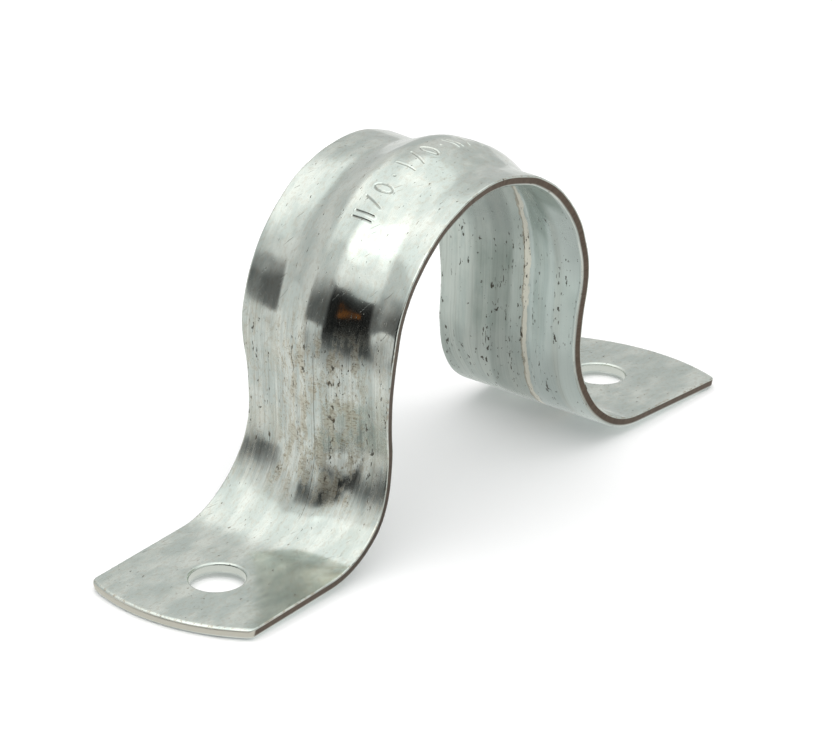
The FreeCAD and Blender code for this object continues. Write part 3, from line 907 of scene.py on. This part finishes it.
# %% Edges and marks
# Depths are millimetres below the outer face.
sheared = board.step(depth_at, 0.13, 0.22) * (1 - board.step(depth_at, sheet - 0.36, sheet - 0.12))
shear_lines = coat_noise(5.0, 5.0, 4, 0.65, 0.9)
# The long edges are bare steel darkened as painted shade; the cut ends are painted lighter.
bare = board.blend(shear_lines, BARE_STEEL_AND_SHADE, BARE_BROWN)
bare = board.blend(at_end, bare, CUT_CREAM)
bare = board.blend(at_hole, bare, PUNCHED_ZINC)
worn_rim = board.band(depth_at, 0.012, 0.12, 0.02) * board.step(grain, 0.5, 0.62) * (1 - at_hole)
# Painted shade in the stamped grooves: the deeper the groove, the darker the colour.
body = board.blend(board.step(struck_at, 0.03, 0.09) * 0.55, body, GROOVE_PAINTED_SHADE)
colour = board.blend(sheared, body, bare)
colour = board.blend(worn_rim * 0.5, colour, RIM_BROWN)
so_far("edges and marks")

# %% [markdown]
# ### Shine and relief
#
# Zinc is a metal, so Metallic is 1 and the colour above is the colour of its reflections.
# What makes it look used is the roughness: mirror-like on the arch, duller where it was
# drawn over the former, dullest inside. A very shallow bump lets the streaks break up the
# reflections, and pits and scratches catch the light.

# %% Shine and relief
BUMP_STRENGTH = 0.35
BUMP_HEIGHT = 0.03 * MM

shine = 0.09 + on_leg * 0.11 + on_foot * 0.08 + inside * 0.16
shine = shine + (patches_of_tone - 0.5) * 0.10 + (streaks - 0.5) * on_leg * 0.12
shine = shine + stains * 0.15 + marks * 0.3
shine = shine * (1 - sheared) + sheared * (0.42 - at_hole * 0.2)
drawn = on_leg * 0.85 + 0.15
relief = ((streaks - 0.5) * 0.7 + (fine_streaks - 0.5) * 0.3) * drawn + (grain - 0.5) * 0.12
relief = relief - marks * 0.6 - scratches * 0.4 + sheared * shear_lines * 0.8
bump_inputs = {"Height": relief, "Strength": BUMP_STRENGTH, "Distance": BUMP_HEIGHT}
bump = board.node("ShaderNodeBump", None, bump_inputs)

board.feed(shader.inputs["Base Color"], colour)
board.feed(shader.inputs["Roughness"], shine)
board.feed(shader.inputs["Normal"], bump)
shader.inputs["Metallic"].default_value = 1.0
mesh.materials.append(zinc)
print("zinc has", len(zinc.node_tree.nodes), "nodes")

# %% [markdown]
# ## The studio
#
# Polished metal shows the room more than itself, so the room is part of the picture. One
# large soft lamp hangs overhead and gives the light and the soft shadow. The metal does not
# see that lamp: a mirror would show it as a hard square. It sees cards instead, which glow
# but light nothing, and which only reflections can see. To the camera and to reflections the
# world is plain white, and for all other rays it is a weaker white that fills the shadows.

# %% World and lamp
world = bpy.data.worlds.new("studio")
world.use_nodes = True
bpy.context.scene.world = world
sky = Board(world.node_tree)
background = world.node_tree.nodes["Background"]
ambient = 0.7


def seen(board):
    """1 for rays from the camera, from a reflection or through glass, and 0 for others."""
    rays = board.node("ShaderNodeLightPath", outputs=(
        "Is Camera Ray", "Is Glossy Ray", "Is Transmission Ray"))
    return board.math("MINIMUM", rays[0] + rays[1] + rays[2], 1.0)


background.inputs["Color"].default_value = (1, 1, 1, 1)
sky.feed(background.inputs["Strength"], ambient + seen(sky) * (1 - ambient))
bpy.context.scene.view_settings.view_transform = "Standard"


def direction(azimuth, elevation):
    """Unit vector towards an azimuth, 0 being -Y and 90 +X, and an elevation, in degrees."""
    azimuth, elevation = math.radians(azimuth), math.radians(elevation)
    flat = math.cos(elevation)
    return Vector((math.sin(azimuth) * flat, -math.cos(azimuth) * flat, math.sin(elevation)))


def softbox(name, azimuth, elevation, distance, size, radiance):
    """A square area lamp that faces the strap, hidden from the camera and from reflections."""
    light = bpy.data.lights.new(name, "AREA")
    light.shape = "SQUARE"
    light.size = size
    light.energy = radiance * math.pi * size**2
    lamp = bpy.data.objects.new(name, light)
    bpy.context.scene.collection.objects.link(lamp)
    towards = direction(azimuth, elevation)
    lamp.location = towards * distance
    lamp.rotation_euler = towards.to_track_quat("Z", "Y").to_euler()
    lamp.visible_camera = lamp.visible_glossy = False


softbox("overhead", -70, 78, 1.1, 1.6, 1.37)
print("ambient", ambient, "with one overhead lamp")

# %% [markdown]
# ## Cards for the reflections
#
# Each card is a band of a cone between two rings, so one function makes walls, ceiling and
# floor papers alike. A colour ramp sets its brightness from the first ring to the second.
# Where a card has sides they fade out, because a hard border in a reflection looks like a
# crack in the metal. Pale walls, a paler ceiling and a grey paper on the floor go all round;
# the paper is darker near the middle, as a painted shadow of the strap.
# Towards the camera and to its left the wall is dark, and so is an apron on the floor; they
# draw the dark bands in the bends that make bent metal look like metal. A window above the
# dark wall lights the crest, and one small amber card puts a warm spot into the dark bend.

# %% Cards that only reflections see
BRIGHTEST = 2.5
NEUTRAL = (1.0, 1.01, 0.99)
AMBER = (1.0, 0.34, 0.06)
CARD_COLUMNS = 48
ALL_ROUND = (-180, 180)
PAPER = 0.0002
APRON = 0.0004


def card_mesh(name, azimuths, start, end):
    """A band between two rings, each a radius and a height, with shares up and along it."""
    angles = np.linspace(*azimuths, CARD_COLUMNS)
    rings = [[direction(angle, 0) * radius + Vector((0, 0, height)) for angle in angles]
             for radius, height in (start, end)]
    quads = [(i, i + 1, i + 1 + CARD_COLUMNS, i + CARD_COLUMNS) for i in range(CARD_COLUMNS - 1)]
    band = bpy.data.meshes.new(name)
    band.from_pydata(rings[0] + rings[1], [], quads)
    height_share = np.repeat((0.0, 1.0), CARD_COLUMNS)
    side_share = np.tile(np.linspace(0, 1, CARD_COLUMNS), 2)
    band.attributes.new("height_share", "FLOAT", "POINT").data.foreach_set("value", height_share)
    band.attributes.new("side_share", "FLOAT", "POINT").data.foreach_set("value", side_share)
    return band


def card_paint(name, levels, soft, tint):
    """A glow that follows the levels from ring to ring and fades out over soft at each side."""
    paint = bpy.data.materials.new(name)
    paint.use_nodes = True
    board = Board(paint.node_tree)
    up = board.node("ShaderNodeAttribute", {"attribute_name": "height_share"}, outputs="Fac")
    side = board.node("ShaderNodeAttribute", {"attribute_name": "side_share"}, outputs="Fac")
    stops = [(place, [level * part / BRIGHTEST for part in tint]) for place, level in levels]
    tone = board.node("ShaderNodeValToRGB", {"stops": stops}, {"Fac": up})
    surface = board.node("ShaderNodeEmission", None, {"Color": tone, "Strength": BRIGHTEST})
    if soft:
        fade = board.band(side, soft, 1 - soft, soft)
        clear = board.node("ShaderNodeBsdfTransparent")
        surface = board.node("ShaderNodeMixShader", None, {0: fade, 1: clear, 2: surface})
    board.feed(paint.node_tree.nodes["Material Output"].inputs["Surface"], surface)
    return paint


def card(name, azimuths, start, end, levels, soft=0.12, tint=NEUTRAL):
    """Hang a card from ring to ring. Its levels are pairs of a share of the way and a brightness."""
    band = card_mesh(name, azimuths, start, end)
    band.materials.append(card_paint(name, levels, soft, tint))
    hung = bpy.data.objects.new(name, band)
    bpy.context.scene.collection.objects.link(hung)
    hung.visible_camera = hung.visible_diffuse = hung.visible_shadow = False
    hung.visible_transmission = hung.visible_volume_scatter = False
    print("card", name)


wall_levels = [(0, 0.68), (0.5, 0.74), (0.65, 0.80), (0.84, 0.92), (1, 1.05)]
ceiling_levels = [(0, 1.12), (0.25, 1.32), (1, 1.42)]
window_levels = [(0, 1.25), (0.3, 1.9), (0.8, 1.9), (1, 1.45)]
card("pale_wall", ALL_ROUND, (1.2, 0), (1.2, 1.2), wall_levels, 0)
card("ceiling", ALL_ROUND, (1.25, 1.25), (0, 1.3), ceiling_levels, 0)
card("window", (-160, 0), (1.0, 0.88), (0.32, 1.2), window_levels, 0.3)

dark_levels = [(0, 0.16), (0.3, 0.13), (0.47, 0.3), (0.6, 0.75), (1, 1.2)]
darkest_levels = [(0, 0.005), (0.65, 0.01), (0.85, 0.05), (1, 0.15)]
card("dark_side", (-137, -30), (1.0, 0), (1.0, 0.86), dark_levels, 0.1)
card("darkest", (-122, -30), (0.95, 0), (0.95, 0.45), darkest_levels, 0.2)

# The grey paper is darker within about 30 mm of the middle: a painted shadow of the strap, seen only
# in reflections.
paper_levels = [(0, 0.45), (0.015, 0.55), (0.024, 0.86), (0.1, 0.86), (1, 0.76)]
apron_levels = [(0, 0.85), (0.02, 0.75), (0.045, 0.35), (0.07, 0.06), (0.3, 0.02), (1, 0.01)]
card("grey_paper", ALL_ROUND, (0, PAPER), (1.2, PAPER), paper_levels, 0)
card("dark_apron", (-124, -30), (0.045, APRON), (1.0, APRON), apron_levels)
card("amber", (-81.2, -79.6), (0.9, 0.2), (0.9, 0.265), [(0, 0.45), (1, 0.4)], 0.45, AMBER)

# %% [markdown]
# ## Floor and camera
#
# The floor is matt white paper with a trace of glow for the camera and for reflections, so
# that it meets the white background without a line and keeps the strap's shadow. The camera is
# a long lens far away, as for a catalogue picture: it keeps the near foot and the far foot
# almost the same size. It is placed by two angles and a distance from the point it looks at,
# in millimetres, and leans by half a degree.

# %% Floor
FLOOR_SIZE = 3
FLOOR_GLOW = 0.08

bpy.ops.mesh.primitive_plane_add(size=FLOOR_SIZE)
floor = bpy.context.object
floor.name = "floor"
paper = bpy.data.materials.new("floor_paper")
paper.use_nodes = True
paper_board = Board(paper.node_tree)
paper_shader = paper.node_tree.nodes["Principled BSDF"]
paper_shader.inputs["Base Color"].default_value = (0.9, 0.9, 0.9, 1)
paper_shader.inputs["Roughness"].default_value = 0.9
paper_shader.inputs["Specular IOR Level"].default_value = 0.1
paper_shader.inputs["Emission Color"].default_value = (1, 1, 1, 1)
paper_board.feed(paper_shader.inputs["Emission Strength"], seen(paper_board) * FLOOR_GLOW)
floor.data.materials.append(paper)
print("floor", FLOOR_SIZE, "m wide")

# %% Camera
camera_azimuth = -51.65
camera_elevation = 24.55
camera_roll = math.radians(0.54)
camera_distance = 528.0
camera_target = Vector((-1.74, -1.27, 13.52))

camera = bpy.data.cameras.new("camera")
camera.lens = 229.55
camera.sensor_width = 36
camera.clip_end = 10
camera_object = bpy.data.objects.new("camera", camera)
bpy.context.scene.collection.objects.link(camera_object)
back = direction(camera_azimuth, camera_elevation)
camera_object.location = (camera_target + camera_distance * back) * MM
camera_object.rotation_mode = "QUATERNION"
camera_object.rotation_quaternion = back.to_track_quat("Z", "Y") @ Quaternion((0, 0, 1), camera_roll)
bpy.context.scene.camera = camera_object
print("camera", camera_distance, "mm away, lens", round(camera.lens, 1), "mm")
